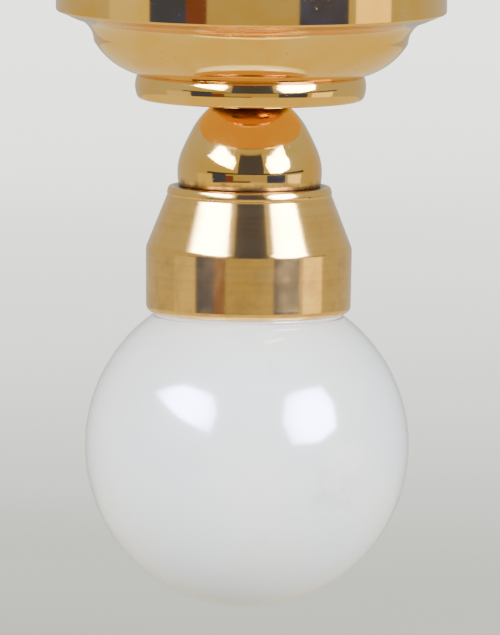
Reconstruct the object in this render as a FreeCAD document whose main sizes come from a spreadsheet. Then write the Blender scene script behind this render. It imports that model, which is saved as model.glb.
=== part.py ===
import FreeCAD, Part
import math
import os

import Sketcher

# A dolls' house ceiling light at one-twelfth scale: a turned brass ceiling rose, a bell-shaped spacer and
# a gallery cup are clamped on a threaded brass tube, and an opal globe pushes up into the cup over a small
# plug-in bulb. The frame has its origin at the middle of the ceiling face, where the foam pad sticks, and
# everything hangs below it along -Z. Each piece is drawn from its own lowest face upwards, in millimetres,
# and is then dropped to its place.

doc = FreeCAD.newDocument("globe_ceiling_light")
sheet = doc.addObject("Spreadsheet::Sheet", "Dims")


# ---------------------------------------------------------------------------------------------------------
# Sizes
# ---------------------------------------------------------------------------------------------------------

class Size:
    """A number together with the spreadsheet expression that gives it."""

    def __init__(self, value, text):
        self.value = value
        self.text = text

    def joined(self, other, sign, value):
        return Size(value, "(%s %s %s)" % (self.text, sign, other.text))

    def __add__(self, other):
        other = as_size(other)
        return self.joined(other, "+", self.value + other.value)

    def __sub__(self, other):
        other = as_size(other)
        return self.joined(other, "-", self.value - other.value)

    def __mul__(self, other):
        other = as_size(other)
        return self.joined(other, "*", self.value * other.value)

    def __truediv__(self, other):
        other = as_size(other)
        return self.joined(other, "/", self.value / other.value)

    def __neg__(self):
        return ZERO - self


def as_size(number):
    """A plain number as a Size."""
    return number if isinstance(number, Size) else Size(float(number), repr(float(number)))


def other_leg(hypotenuse, leg):
    """The third side of a right-angled triangle."""
    return Size(
        math.sqrt(hypotenuse.value ** 2 - leg.value ** 2),
        "sqrt(%s ^ 2 - %s ^ 2)" % (hypotenuse.text, leg.text),
    )


ZERO = as_size(0)
row_count = 0


def dim(alias, value):
    """Writes one driving dimension to the spreadsheet and returns it."""
    global row_count
    row_count += 1
    sheet.set("A%d" % row_count, alias)
    sheet.set("B%d" % row_count, str(value))
    sheet.setAlias("B%d" % row_count, alias)
    return Size(float(value), "Dims." + alias)


# Fits
slip = dim("slip_clearance", 0.02)          # between pieces that are assembled by hand
seat_gap = dim("seat_clearance", 0.05)      # between a fixed piece and one that pulls out

# Stem: a threaded tube that clamps everything and carries the two leads
stem_radius = dim("stem_radius", 1.2)
stem_bore = dim("stem_bore_radius", 0.7)
stem_length = dim("stem_length", 9.85)
stem_above_nut = dim("stem_above_nut", 0.45)
thread_pitch = dim("thread_pitch", 0.45)
thread_depth = dim("thread_depth", 0.16)
thread_half_width = dim("thread_half_width", 0.171)
thread_chamfer = dim("thread_chamfer", 0.2)

# Ceiling rose
pad_proud = dim("pad_proud", 0.25)
rose_height = dim("rose_height", 5.45)
rose_radius = dim("rose_rim_radius", 9.05)
rose_rim = dim("rose_rim_height", 1.4)
rose_edge = dim("rose_edge_rounding", 0.12)
cone_radius = dim("rose_cone_end_radius", 8.17)
cone_drop = dim("rose_cone_drop", 0.33)
cove = dim("rose_cove_radius", 1.1)
neck_radius = dim("rose_neck_radius", 7.3)
cove_drop = dim("rose_cove_drop", 0.87)
bowl_top_radius = dim("rose_bowl_top_radius", 7.27)
bowl_top = dim("rose_bowl_top_height", 2.65)
bowl = dim("rose_bowl_curve", 3.26)
bowl_foot_radius = dim("rose_bowl_foot_radius", 5.2)
bead_foot_radius = dim("rose_bead_foot_radius", 5.0)
bead_corner = dim("rose_bead_corner_rounding", 0.27)
bead_side_radius = dim("rose_bead_side_radius", 5.277)
bead_side_foot = dim("rose_bead_side_foot", 0.2)
bead_side_top = dim("rose_bead_side_top", 1.06)
bead_swell = dim("rose_bead_swell_curve", 1.3)
bead_top = dim("rose_bead_top_height", 1.12)
bead_edge = dim("rose_bead_top_rounding", 0.07)
rose_floor = dim("rose_floor_thickness", 0.85)
chamber_radius = dim("rose_chamber_radius", 6.4)
chamber_depth = dim("rose_chamber_depth", 2.95)
well_radius = dim("rose_well_radius", 4.4)

# Foam pad
pad_thickness = dim("pad_thickness", 0.85)
pad_outer = dim("pad_outer_radius", 8.2)
pad_inner = dim("pad_inner_radius", 6.5)

# Bell cap
bell_height = dim("bell_height", 4.03)
bell_radius = dim("bell_base_radius", 3.28)
bell_edge = dim("bell_edge_rounding", 0.05)
bell_hip = dim("bell_hip_curve", 2.6)
bell_waist_radius = dim("bell_waist_radius", 3.13)
bell_waist = dim("bell_waist_height", 1.68)
bell_slope = dim("bell_slope_curve", 12)
bell_brow_radius = dim("bell_brow_radius", 2.66)
bell_brow = dim("bell_brow_height", 2.65)
bell_crown = dim("bell_crown_curve", 3.4)
bell_top_radius = dim("bell_top_radius", 1.32)

# Gallery cup
cup_height = dim("cup_height", 5.87)
cup_radius = dim("cup_widest_radius", 4.77)
cup_foot_radius = dim("cup_foot_radius", 4.74)
cup_foot = dim("cup_foot_rounding", 0.36)
cup_break = dim("cup_break_height", 2.95)
cup_flare = dim("cup_flare_curve", 27)
cup_rim_radius = dim("cup_rim_radius", 3.82)
cup_rim = dim("cup_rim_height", 0.5)
cup_rim_edge = dim("cup_rim_rounding", 0.14)
cup_groove = dim("cup_groove_depth", 0.07)
cup_bore = dim("cup_bore_radius", 4.34)
cup_bore_depth = dim("cup_bore_depth", 2.98)
cup_inner_top = dim("cup_inner_top_radius", 2.95)
cup_ceiling = dim("cup_ceiling_thickness", 0.8)

# Nuts and washers
nut_flats = dim("nut_across_flats", 3.8)
nut_height = dim("nut_height", 1.1)
nut_chamfer = dim("nut_chamfer_height", 0.192)
washer_radius = dim("washer_radius", 2.2)
washer_thickness = dim("washer_thickness", 0.25)

# Bulb socket
shell_radius = dim("socket_shell_radius", 2.4)
shell_bore = dim("socket_shell_bore_radius", 2.05)
shell_height = dim("socket_shell_height", 4.1)
shell_crown = dim("socket_shell_crown", 1.1)
shell_edge = dim("socket_shell_edge", 0.15)
insulator_height = dim("insulator_height", 1.65)
insulator_inset = dim("insulator_inset", 0.15)
pin_pitch = dim("pin_pitch", 1.6)
pin_hole = dim("insulator_hole_radius", 0.38)
contact_radius = dim("contact_radius", 0.35)
contact_bore = dim("contact_bore_radius", 0.23)
contact_length = dim("contact_length", 1.5)
contact_slot = dim("contact_slot_width", 0.1)
tail_length = dim("contact_tail_length", 0.75)
tail_width = dim("contact_tail_width", 0.34)

# Bulb
base_radius = dim("bulb_base_radius", 1.7)
base_height = dim("bulb_base_height", 1.1)
base_floor = dim("bulb_base_floor", 0.5)
base_edge = dim("bulb_base_edge", 0.15)
pin_radius = dim("pin_radius", 0.21)
pin_length = dim("pin_length", 1.68)
glass_radius = dim("bulb_glass_radius", 1.5)
glass_length = dim("bulb_glass_length", 5.45)
glass_wall = dim("bulb_glass_wall", 0.18)
glass_seal = dim("bulb_seal_thickness", 0.6)
wire_radius = dim("support_wire_radius", 0.08)
wire_pitch = dim("support_wire_pitch", 0.9)
wire_straight = dim("support_straight_length", 1.75)
wire_splay = dim("support_splay", 0.28)
wire_bend = dim("support_bend_radius", 0.5)
wire_drop = dim("support_drop", 3.1)
bead_drop = dim("bulb_bead_drop", 0.75)
bridge_radius = dim("bulb_bead_radius", 0.24)
bridge_length = dim("bulb_bead_length", 1.4)
bridge_edge = dim("bulb_bead_rounding", 0.18)
coil_radius = dim("filament_coil_radius", 0.1)
coil_pitch = dim("filament_coil_pitch", 0.1)
coil_wire = dim("filament_wire_radius", 0.022)

# Globe
globe_radius = dim("globe_radius", 7.5)
globe_wall = dim("globe_wall", 0.65)
globe_shoulder = dim("globe_shoulder_radius", 4.47)
globe_stand_off = dim("globe_stand_off", 0.16)
globe_cove = dim("globe_cove_radius", 0.12)
globe_neck_radius = dim("globe_neck_radius", 4.28)
globe_neck_length = dim("globe_neck_length", 2.96)
globe_lip = dim("globe_lip_rounding", 0.15)

doc.recompute()

# Levels of each piece's lowest face, as Sizes, counted down from the ceiling plane
rose_level = -(pad_proud + rose_height)
bell_level = rose_level - bell_height
cup_level = bell_level - cup_height
rose_floor_level = rose_level + rose_floor
top_washer_level = rose_floor_level
top_nut_level = top_washer_level + washer_thickness
stem_level = top_nut_level + nut_height + stem_above_nut - stem_length
cup_ceiling_level = cup_level + cup_height - cup_ceiling
cup_washer_level = cup_ceiling_level - washer_thickness
cup_nut_level = cup_washer_level - nut_height
shell_level = cup_nut_level - shell_height
insulator_level = shell_level + insulator_inset
base_level = shell_level + seat_gap * 2 - base_height
pin_level = base_level + base_height - base_floor + slip
glass_level = base_level + base_height - base_floor - slip - glass_length
# The ball ends in a small shoulder this far above its middle, and stands off the cup's mouth by a hair
globe_rise = other_leg(globe_radius, globe_shoulder)
globe_level = cup_level - globe_stand_off - globe_rise - globe_radius


# ---------------------------------------------------------------------------------------------------------
# Ways of making a piece
# ---------------------------------------------------------------------------------------------------------

def place(piece, level, along=None):
    """Drops a piece to its level and, if asked, moves it sideways along X."""
    piece.setExpression("Placement.Base.z", level.text)
    if along is not None:
        piece.setExpression("Placement.Base.x", along.text)
    return piece


def new_body(name, level, along=None):
    body = doc.addObject("PartDesign::Body", name)
    body.Label = name
    return place(body, level, along)


def new_sketch(body, name, role):
    """An empty sketch on one of the body's own origin planes."""
    sketch = body.newObject("Sketcher::SketchObject", name)
    plane = [p for p in body.Origin.OriginFeatures if p.Role == role][0]
    sketch.AttachmentSupport = [(plane, "")]
    sketch.MapMode = "FlatFace"
    return sketch


def hold(sketch, size, *constraint):
    """Adds a constraint whose value is a Size, and ties it to the Size's expression."""
    made = sketch.addConstraint(Sketcher.Constraint(*constraint, size.value))
    name = "size_%d" % made
    sketch.renameConstraint(made, name)
    sketch.setExpression("Constraints." + name, size.text)


def pin_point(sketch, edge, end, x, y):
    """Fixes one end of an edge at x, y. A point on an axis is held by the axis itself."""
    for size, kind, axis in ((x, "DistanceX", -2), (y, "DistanceY", -1)):
        if abs(size.value) < 1e-9:
            sketch.addConstraint(Sketcher.Constraint("PointOnObject", edge, end, axis))
        else:
            hold(sketch, size, kind, -1, 1, edge, end)


def arc_between(start, end, radius, hollow):
    """The shorter arc of that radius; seen along the outline, hollow bends right and otherwise left."""
    chord = end - start
    half = chord.Length / 2
    rise = radius - math.sqrt(radius ** 2 - half ** 2)
    aside = FreeCAD.Vector(chord.y, -chord.x, 0).normalize() * (-rise if hollow else rise)
    return Part.Arc(start, (start + end) / 2 + aside, end)


def draw(sketch, outline, closed=True):
    """Draws an outline of (x, y) or (x, y, radius, hollow) points, run anticlockwise. A point with a
    radius starts an arc to the next point, which swells outwards, or inwards where hollow is true."""
    points = [FreeCAD.Vector(p[0].value, p[1].value, 0) for p in outline]
    count = len(points) if closed else len(points) - 1
    ends = []
    for i in range(count):
        start, end = points[i], points[(i + 1) % len(points)]
        if len(outline[i]) > 2:
            curve = arc_between(start, end, outline[i][2].value, outline[i][3])
        else:
            curve = Part.LineSegment(start, end)
        edge = sketch.addGeometry(curve, False)
        first = 1 if (sketch.getPoint(edge, 1) - start).Length < 1e-6 else 2
        ends.append((first, 3 - first))
    for i in range(count):
        if closed or i + 1 < count:
            after = (i + 1) % count
            sketch.addConstraint(Sketcher.Constraint("Coincident", i, ends[i][1], after, ends[after][0]))
        pin_point(sketch, i, ends[i][0], outline[i][0], outline[i][1])
        if len(outline[i]) > 2:
            hold(sketch, outline[i][2], "Radius", i)
    if not closed:
        pin_point(sketch, count - 1, ends[count - 1][1], outline[-1][0], outline[-1][1])


def circles(sketch, rings):
    """Draws circles given as (x, radius), with their centres on the X axis."""
    for x, radius in rings:
        circle = Part.Circle(FreeCAD.Vector(x.value, 0, 0), FreeCAD.Vector(0, 0, 1), radius.value)
        ring = sketch.addGeometry(circle, False)
        pin_point(sketch, ring, 3, x, ZERO)
        hold(sketch, radius, "Radius", ring)


def feature(body, kind, name, profile):
    made = body.newObject("PartDesign::" + kind, name)
    made.Profile = profile
    return made


def turn(body, outline, kind="Revolution"):
    """Turns an outline of (radius, height) points about the body's Z axis; kind Groove cuts instead."""
    sketch = new_sketch(body, "%s_%s_outline" % (body.Label, kind.lower()), "XZ_Plane")
    draw(sketch, outline)
    made = feature(body, kind, "%s_%s" % (body.Label, kind.lower()), sketch)
    made.ReferenceAxis = (sketch, ["V_Axis"])
    made.Angle = 360
    return made


def raise_up(body, sketch, height):
    """Pads a sketch upwards by a Size."""
    made = feature(body, "Pad", body.Label + "_pad", sketch)
    made.setExpression("Length", height.text)
    return made


def bore_out(body, rings, depth):
    """Cuts circles, given as (x, radius), from the body's own XY plane upwards, and tests that they cut."""
    doc.recompute()
    before = body.Shape.Volume
    sketch = new_sketch(body, body.Label + "_holes", "XY_Plane")
    circles(sketch, rings)
    made = feature(body, "Pocket", body.Label + "_pocket", sketch)
    made.Reversed = True
    made.setExpression("Length", depth.text)
    doc.recompute()
    if not body.Shape.Volume < before:
        raise RuntimeError(body.Label + ": the holes cut nothing")
    return made


pieces = []


def finished(piece):
    """Counts a piece as one that is handed in."""
    pieces.append(piece)
    return piece


# ---------------------------------------------------------------------------------------------------------
# Ceiling rose and its foam pad
# ---------------------------------------------------------------------------------------------------------

def make_rose():
    """Turned from bar: rim, shallow cone, cove, bowl and a swelling bead outside; bored out behind."""
    body = new_body("ceiling_rose", rose_level)
    hole = stem_radius + seat_gap
    rim_foot = rose_height - rose_rim
    seat = rose_height - (pad_thickness - pad_proud)
    chamber_floor = rose_height - chamber_depth
    turn(body, [
        (hole, ZERO),
        (bead_foot_radius, ZERO, bead_corner, False),
        (bead_side_radius, bead_side_foot, bead_swell, False),
        (bead_side_radius, bead_side_top, bead_edge, False),
        (bowl_foot_radius, bead_top),
        (bowl_foot_radius, bead_top + slip, bowl, False),
        (bowl_top_radius, bowl_top),
        (neck_radius, rim_foot - cone_drop - cove_drop, cove, True),
        (cone_radius, rim_foot - cone_drop),
        (rose_radius - rose_edge, rim_foot - slip, rose_edge, False),
        (rose_radius, rim_foot + rose_edge),
        (rose_radius, rose_height - rose_edge, rose_edge, False),
        (rose_radius - rose_edge, rose_height),
        (pad_outer + seat_gap, rose_height),
        (pad_outer + seat_gap, seat),
        (chamber_radius, seat),
        (chamber_radius, chamber_floor),
        (well_radius, chamber_floor),
        (well_radius, rose_floor),
        (hole, rose_floor),
    ])
    return finished(body)


def make_pad():
    """A ring of double-sided foam tape in the rose's rim, standing a little proud of it."""
    body = new_body("foam_pad", -pad_thickness)
    sketch = new_sketch(body, "pad_ring", "XY_Plane")
    circles(sketch, [(ZERO, pad_outer), (ZERO, pad_inner)])
    raise_up(body, sketch, pad_thickness)
    return finished(body)


# ---------------------------------------------------------------------------------------------------------
# Stem, nuts and washers
# ---------------------------------------------------------------------------------------------------------

def make_stem():
    """A tube with chamfered ends, cut with evenly spaced V grooves that stand for its thread."""
    body = new_body("threaded_stem", stem_level)
    tip = stem_radius - thread_chamfer
    turn(body, [
        (stem_bore, ZERO),
        (tip, ZERO),
        (stem_radius, thread_chamfer),
        (stem_radius, stem_length - thread_chamfer),
        (tip, stem_length),
        (stem_bore, stem_length),
    ])
    first = thread_chamfer + thread_pitch / 2
    outside = stem_radius + slip
    groove = turn(body, [
        (outside, first - thread_half_width),
        (outside, first + thread_half_width),
        (stem_radius - thread_depth, first),
    ], "Groove")
    doc.recompute()
    turns = int((stem_length.value - 2 * thread_chamfer.value) / thread_pitch.value)
    pattern = body.newObject("PartDesign::LinearPattern", "thread_pattern")
    pattern.Originals = [groove]
    pattern.Direction = ([p for p in body.Origin.OriginFeatures if p.Role == "Z_Axis"][0], [""])
    pattern.Occurrences = turns
    pattern.setExpression("Length", (thread_pitch * (turns - 1)).text)
    body.Tip = pattern
    return finished(body)


def make_nut(name, level):
    """A hexagon nut with both ends chamfered and a plain bore that clears the stem."""
    body = new_body(name, level)
    sketch = new_sketch(body, name + "_hexagon", "XY_Plane")
    corner = nut_flats / 2 / math.cos(math.pi / 6)
    draw(sketch, [
        (corner, ZERO),
        (corner / 2, nut_flats / 2),
        (corner / -2, nut_flats / 2),
        (-corner, ZERO),
        (corner / -2, nut_flats / -2),
        (corner / 2, nut_flats / -2),
    ])
    raise_up(body, sketch, nut_height)
    doc.recompute()
    flat = nut_flats / 2
    beyond = corner + slip
    for end, sign in ((ZERO, 1), (nut_height, -1)):
        cut = [(flat, end), (beyond, end), (beyond, end + nut_chamfer * sign)]
        turn(body, cut if sign > 0 else cut[::-1], "Groove")
    bore_out(body, [(ZERO, stem_radius + slip)], nut_height)
    return finished(body)


def make_washer(name, level):
    body = new_body(name, level)
    sketch = new_sketch(body, name + "_ring", "XY_Plane")
    circles(sketch, [(ZERO, washer_radius), (ZERO, stem_radius + seat_gap)])
    raise_up(body, sketch, washer_thickness)
    return finished(body)


# ---------------------------------------------------------------------------------------------------------
# Bell cap and gallery cup
# ---------------------------------------------------------------------------------------------------------

def make_bell():
    """A solid turned spacer: a rounded hip, a nearly straight slope and a rounder crown."""
    body = new_body("bell_cap", bell_level)
    hole = stem_radius + seat_gap
    turn(body, [
        (hole, ZERO),
        (bell_radius - bell_edge, ZERO),
        (bell_radius, bell_edge, bell_hip, False),
        (bell_waist_radius, bell_waist, bell_slope, False),
        (bell_brow_radius, bell_brow, bell_crown, False),
        (bell_top_radius, bell_height),
        (hole, bell_height),
    ])
    return finished(body)


def make_cup():
    """A rim with a fine groove under it, a flaring shoulder and a straight skirt, bored from below."""
    body = new_body("gallery_cup", cup_level)
    hole = stem_radius + seat_gap
    rim_foot = cup_height - cup_rim
    turn(body, [
        (cup_bore, ZERO),
        (cup_foot_radius - cup_foot, ZERO, cup_foot, False),
        (cup_foot_radius, cup_foot),
        (cup_radius, cup_break, cup_flare, False),
        (cup_rim_radius, rim_foot - cup_groove),
        (cup_rim_radius - cup_groove, rim_foot),
        (cup_rim_radius, rim_foot + cup_groove),
        (cup_rim_radius, cup_height - cup_rim_edge, cup_rim_edge, False),
        (cup_rim_radius - cup_rim_edge, cup_height),
        (hole, cup_height),
        (hole, cup_height - cup_ceiling),
        (cup_inner_top, cup_height - cup_ceiling),
        (cup_bore, cup_bore_depth),
    ])
    return finished(body)


# ---------------------------------------------------------------------------------------------------------
# Bulb socket
# ---------------------------------------------------------------------------------------------------------

def make_socket_shell():
    """A brass sleeve that screws up the stem against the lower nut and holds the insulator."""
    body = new_body("socket_shell", shell_level)
    hole = stem_radius + slip
    crown_foot = shell_height - shell_crown
    turn(body, [
        (shell_bore, ZERO),
        (shell_radius - shell_edge, ZERO),
        (shell_radius, shell_edge),
        (shell_radius, shell_height - shell_edge),
        (shell_radius - shell_edge, shell_height),
        (hole, shell_height),
        (hole, crown_foot),
        (shell_bore, crown_foot),
    ])
    return finished(body)


def make_insulator():
    """A moulded disc with a hole for each contact."""
    body = new_body("socket_insulator", insulator_level)
    sketch = new_sketch(body, "insulator_disc", "XY_Plane")
    circles(sketch, [(ZERO, shell_bore - slip)])
    raise_up(body, sketch, insulator_height)
    bore_out(body, [(pin_pitch / -2, pin_hole), (pin_pitch / 2, pin_hole)], insulator_height)
    return finished(body)


def cylinder(name, radius, height, level, along=ZERO):
    made = doc.addObject("Part::Cylinder", name)
    made.setExpression("Radius", radius.text)
    made.setExpression("Height", height.text)
    return place(made, level, along)


def block(name, long, wide, high, level, along):
    """A box whose length runs along X, centred on Y."""
    made = doc.addObject("Part::Box", name)
    made.setExpression("Length", long.text)
    made.setExpression("Width", wide.text)
    made.setExpression("Height", high.text)
    made.setExpression("Placement.Base.y", (wide / -2).text)
    return place(made, level, along)


def boolean(kind, name, base, tool):
    made = doc.addObject("Part::" + kind, name)
    made.Base = base
    made.Tool = tool
    return made


def tube(name, length, foot, along):
    """A round tube of the contacts' own section."""
    outside = cylinder(name + "_outside", contact_radius, length, foot, along)
    bore = cylinder(name + "_bore", contact_bore, length + slip * 2, foot - slip, along)
    return boolean("Cut", name, outside, bore)


def make_contact(name, side):
    """A sleeve that grips one bulb pin, slit on the side that faces the stem's axis, with a solder tail
    that carries its outer wall on upwards."""
    along = pin_pitch / 2 * side
    foot = insulator_level + seat_gap
    inner_half = along if side < 0 else along - contact_radius
    slit = block(name + "_slit", contact_radius, contact_slot, contact_length + slip * 2,
                 foot - slip, inner_half)
    sleeve = boolean("Cut", name + "_sleeve", tube(name + "_tube", contact_length, foot, along), slit)
    wall = contact_radius - contact_bore
    outer_wall = along - contact_radius if side < 0 else along + contact_bore
    middle = contact_length / 2
    strip = block(name + "_strip", wall, tail_width, middle + tail_length, foot + middle, outer_wall)
    long_tube = tube(name + "_long_tube", contact_length + tail_length, foot, along)
    tail = boolean("Common", name + "_tail", strip, long_tube)
    made = boolean("Fuse", name, sleeve, tail)
    made.Label = name
    return finished(made)


# ---------------------------------------------------------------------------------------------------------
# Bulb
# ---------------------------------------------------------------------------------------------------------

def make_bulb_base():
    """A moulded cap: the glass is cemented in its lower pocket, and two pins stand out of its floor."""
    body = new_body("bulb_base", base_level)
    pocket = glass_radius + slip
    turn(body, [
        (pocket, ZERO),
        (base_radius, ZERO),
        (base_radius, base_height - base_edge),
        (base_radius - base_edge, base_height),
        (ZERO, base_height),
        (ZERO, base_height - base_floor),
        (pocket, base_height - base_floor),
    ])
    bore_out(body, [(pin_pitch / -2, pin_radius + slip), (pin_pitch / 2, pin_radius + slip)], base_height)
    return finished(body)


def make_pin(name, side):
    """A straight pin with a domed top."""
    body = new_body(name, pin_level, pin_pitch / 2 * side)
    turn(body, [
        (ZERO, ZERO),
        (pin_radius, ZERO),
        (pin_radius, pin_length - pin_radius, pin_radius, False),
        (ZERO, pin_length),
    ])
    return finished(body)


def make_bulb_glass():
    """A tube of clear glass with a round end below and a solid seal above, holed for the two supports."""
    body = new_body("bulb_glass", glass_level)
    inner = glass_radius - glass_wall
    seal_foot = glass_length - glass_seal
    turn(body, [
        (ZERO, ZERO, glass_radius, False),
        (glass_radius, glass_radius),
        (glass_radius, glass_length - glass_wall, glass_wall, False),
        (glass_radius - glass_wall, glass_length),
        (ZERO, glass_length),
        (ZERO, seal_foot),
        (inner - glass_wall, seal_foot),
        (inner, seal_foot - glass_wall),
        (inner, glass_radius, inner, True),
        (ZERO, glass_wall),
    ])
    doc.recompute()
    before = body.Shape.Volume
    sketch = new_sketch(body, "support_holes", "XY_Plane")
    circles(sketch, [(wire_pitch / -2, wire_radius + slip / 2), (wire_pitch / 2, wire_radius + slip / 2)])
    sketch.setExpression("AttachmentOffset.Base.z", (seal_foot - glass_wall).text)
    holes = feature(body, "Pocket", "support_pocket", sketch)
    holes.Reversed = True
    holes.setExpression("Length", (glass_seal + glass_wall * 2).text)
    doc.recompute()
    if not body.Shape.Volume < before:
        raise RuntimeError("bulb_glass: the support holes cut nothing")
    return finished(body)


def make_support(name, side):
    """A fine wire down from the seal, bent outwards to carry one end of the filament. It is drawn upside
    down from its fixed end and turned over, so that the left and right ones are the same piece."""
    body = new_body(name, glass_level + glass_length, wire_pitch / 2 * side)
    body.Placement.Rotation = FreeCAD.Rotation(FreeCAD.Vector(1, 0, 0), 180)
    if side < 0:
        body.Placement.Rotation = FreeCAD.Rotation(FreeCAD.Vector(0, 1, 0), 180)
    path = new_sketch(body, name + "_path", "XZ_Plane")
    draw(path, [
        (ZERO, ZERO),
        (ZERO, wire_straight),
        (wire_splay, wire_straight + wire_bend),
        (wire_splay, wire_drop),
    ], closed=False)
    section = new_sketch(body, name + "_section", "XY_Plane")
    circles(section, [(ZERO, wire_radius)])
    pipe = feature(body, "AdditivePipe", name + "_pipe", section)
    pipe.Spine = (path, ["Edge1", "Edge2", "Edge3"])
    pipe.Transition = "Round corner"
    return finished(body)


def make_bridge():
    """The glass bead that holds the two supports apart, rounded at its ends."""
    level = glass_level + glass_length - glass_seal - bead_drop
    rod = cylinder("bulb_bead_rod", bridge_radius, bridge_length, level, bridge_length / -2)
    rod.Placement.Rotation = FreeCAD.Rotation(FreeCAD.Vector(0, 1, 0), 90)
    doc.recompute()
    rounded = doc.addObject("Part::Fillet", "bulb_bead_rounded")
    rounded.Base = rod
    ends = [i + 1 for i, e in enumerate(rod.Shape.Edges) if isinstance(e.Curve, Part.Circle)]
    rounded.Edges = [(i, bridge_edge.value, bridge_edge.value) for i in ends]
    rod.Visibility = False
    hole = wire_radius + slip / 2
    low = level - bridge_radius * 2
    left = cylinder("bulb_bead_left_hole", hole, bridge_radius * 4, low, wire_pitch / -2)
    right = cylinder("bulb_bead_right_hole", hole, bridge_radius * 4, low, wire_pitch / 2)
    made = boolean("Cut", "bulb_bead", rounded, boolean("Fuse", "bulb_bead_holes", left, right))
    made.Label = "bulb_bead"
    return finished(made)


def make_filament():
    """A close coil of fine wire that reaches from one support's tip to the other's."""
    reach = wire_pitch / 2 + wire_splay - wire_radius - slip
    level = glass_level + glass_length - wire_drop + wire_radius * 2
    helix = doc.addObject("Part::Helix", "filament_line")
    helix.setExpression("Pitch", coil_pitch.text)
    helix.setExpression("Height", (reach * 2 - coil_wire * 2).text)
    helix.setExpression("Radius", coil_radius.text)
    section = doc.addObject("Part::Circle", "filament_section")
    section.setExpression("Radius", coil_wire.text)
    section.setExpression("Placement.Base.x", coil_radius.text)
    section.Placement.Rotation = FreeCAD.Rotation(FreeCAD.Vector(1, 0, 0), 90)
    doc.recompute()
    coil = doc.addObject("Part::Sweep", "filament")
    coil.Sections = [section]
    coil.Spine = (helix, ["Edge%d" % (i + 1) for i in range(len(helix.Shape.Edges))])
    coil.Solid = True
    coil.Frenet = True
    coil.Label = "filament"
    coil.Placement.Rotation = FreeCAD.Rotation(FreeCAD.Vector(0, 1, 0), 90)
    place(coil, level, coil_wire - reach)
    return finished(coil)


# ---------------------------------------------------------------------------------------------------------
# Globe
# ---------------------------------------------------------------------------------------------------------

def make_globe():
    """A hollow ball with a shoulder, a small cove and a straight neck that pushes up into the cup."""
    body = new_body("globe", globe_level)
    inner = globe_radius - globe_wall
    neck_inner = globe_neck_radius - globe_wall
    inner_rise = other_leg(inner, neck_inner)
    shoulder_level = globe_radius + globe_rise
    neck_top = shoulder_level + globe_neck_length
    turn(body, [
        (ZERO, ZERO, globe_radius, False),
        (globe_radius, globe_radius, globe_radius, False),
        (globe_shoulder, shoulder_level),
        (globe_neck_radius + globe_cove, shoulder_level, globe_cove, True),
        (globe_neck_radius, shoulder_level + globe_cove),
        (globe_neck_radius, neck_top - globe_lip, globe_lip, False),
        (globe_neck_radius - globe_lip, neck_top),
        (neck_inner + globe_lip, neck_top, globe_lip, False),
        (neck_inner, neck_top - globe_lip),
        (neck_inner, globe_radius + inner_rise, inner, True),
        (inner, globe_radius, inner, True),
        (ZERO, globe_wall),
    ])
    return finished(body)


# ---------------------------------------------------------------------------------------------------------
# Build, check and write
# ---------------------------------------------------------------------------------------------------------

make_rose()
make_pad()
make_stem()
make_washer("rose_washer", top_washer_level)
make_nut("rose_nut", top_nut_level)
make_bell()
make_cup()
make_washer("cup_washer", cup_washer_level)
make_nut("cup_nut", cup_nut_level)
make_socket_shell()
make_insulator()
make_bulb_base()
make_bulb_glass()
for hand, side in (("left", -1), ("right", 1)):
    make_contact("contact_" + hand, side)
    make_pin("bulb_pin_" + hand, side)
    make_support("filament_support_" + hand, side)
make_bridge()
make_filament()
make_globe()
doc.recompute()

for thing in doc.Objects:
    if "Invalid" in thing.State or "Error" in thing.State:
        raise RuntimeError("%s failed: %s" % (thing.Name, thing.State))

os.makedirs("parts", exist_ok=True)
for piece in pieces:
    shape = piece.Shape
    if shape.isNull() or not shape.isValid() or len(shape.Solids) != 1:
        raise RuntimeError(piece.Label + " isn't one sound solid")
    shape.exportStep("parts/%s.step" % piece.Label)
    print("%-24s volume %9.4f mm3, z %8.3f to %8.3f" % (
        piece.Label, shape.Volume, shape.BoundBox.ZMin, shape.BoundBox.ZMax))
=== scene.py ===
# %% [markdown]
# # A dolls' house globe light
#
# This lesson makes the looks of a one-twelfth scale ceiling light: a turned brass rose that sticks to the
# ceiling, a bell cap, a flared cup and an opal globe, with a plug-in bulb inside. The whole light is 29 mm
# tall. The engineering model comes first and is a fixed frame. Each piece here is made around it, in
# metres and in the same place, so nothing has to be fitted by eye.

import math

import bpy
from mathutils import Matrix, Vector


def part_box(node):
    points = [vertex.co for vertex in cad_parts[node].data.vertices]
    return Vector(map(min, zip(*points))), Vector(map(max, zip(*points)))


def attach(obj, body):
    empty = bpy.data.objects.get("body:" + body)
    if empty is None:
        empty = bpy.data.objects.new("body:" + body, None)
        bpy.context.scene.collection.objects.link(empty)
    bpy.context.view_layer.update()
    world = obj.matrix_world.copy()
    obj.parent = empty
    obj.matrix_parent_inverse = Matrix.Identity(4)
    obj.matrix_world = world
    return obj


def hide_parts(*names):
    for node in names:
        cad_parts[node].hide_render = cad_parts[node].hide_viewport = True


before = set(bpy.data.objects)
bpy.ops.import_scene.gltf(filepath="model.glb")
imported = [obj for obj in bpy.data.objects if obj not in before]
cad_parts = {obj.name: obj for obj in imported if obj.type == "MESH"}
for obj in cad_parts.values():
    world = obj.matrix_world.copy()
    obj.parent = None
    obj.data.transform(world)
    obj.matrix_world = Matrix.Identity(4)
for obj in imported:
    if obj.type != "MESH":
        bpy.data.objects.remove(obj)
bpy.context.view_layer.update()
MM = 0.001
print("nodes:", len(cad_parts))

# %% [markdown]
# ## Selecting by hand and by code
#
# Blender's operators act on whatever is selected, just as they do when we click. So each step first lets
# go of everything, and then picks out the faces or points that it means by their place.

# %% Selection helpers


def let_go():
    """Back to object mode, with nothing selected."""
    if bpy.context.object and bpy.context.object.mode != "OBJECT":
        bpy.ops.object.mode_set(mode="OBJECT")
    bpy.ops.object.select_all(action="DESELECT")


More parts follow.
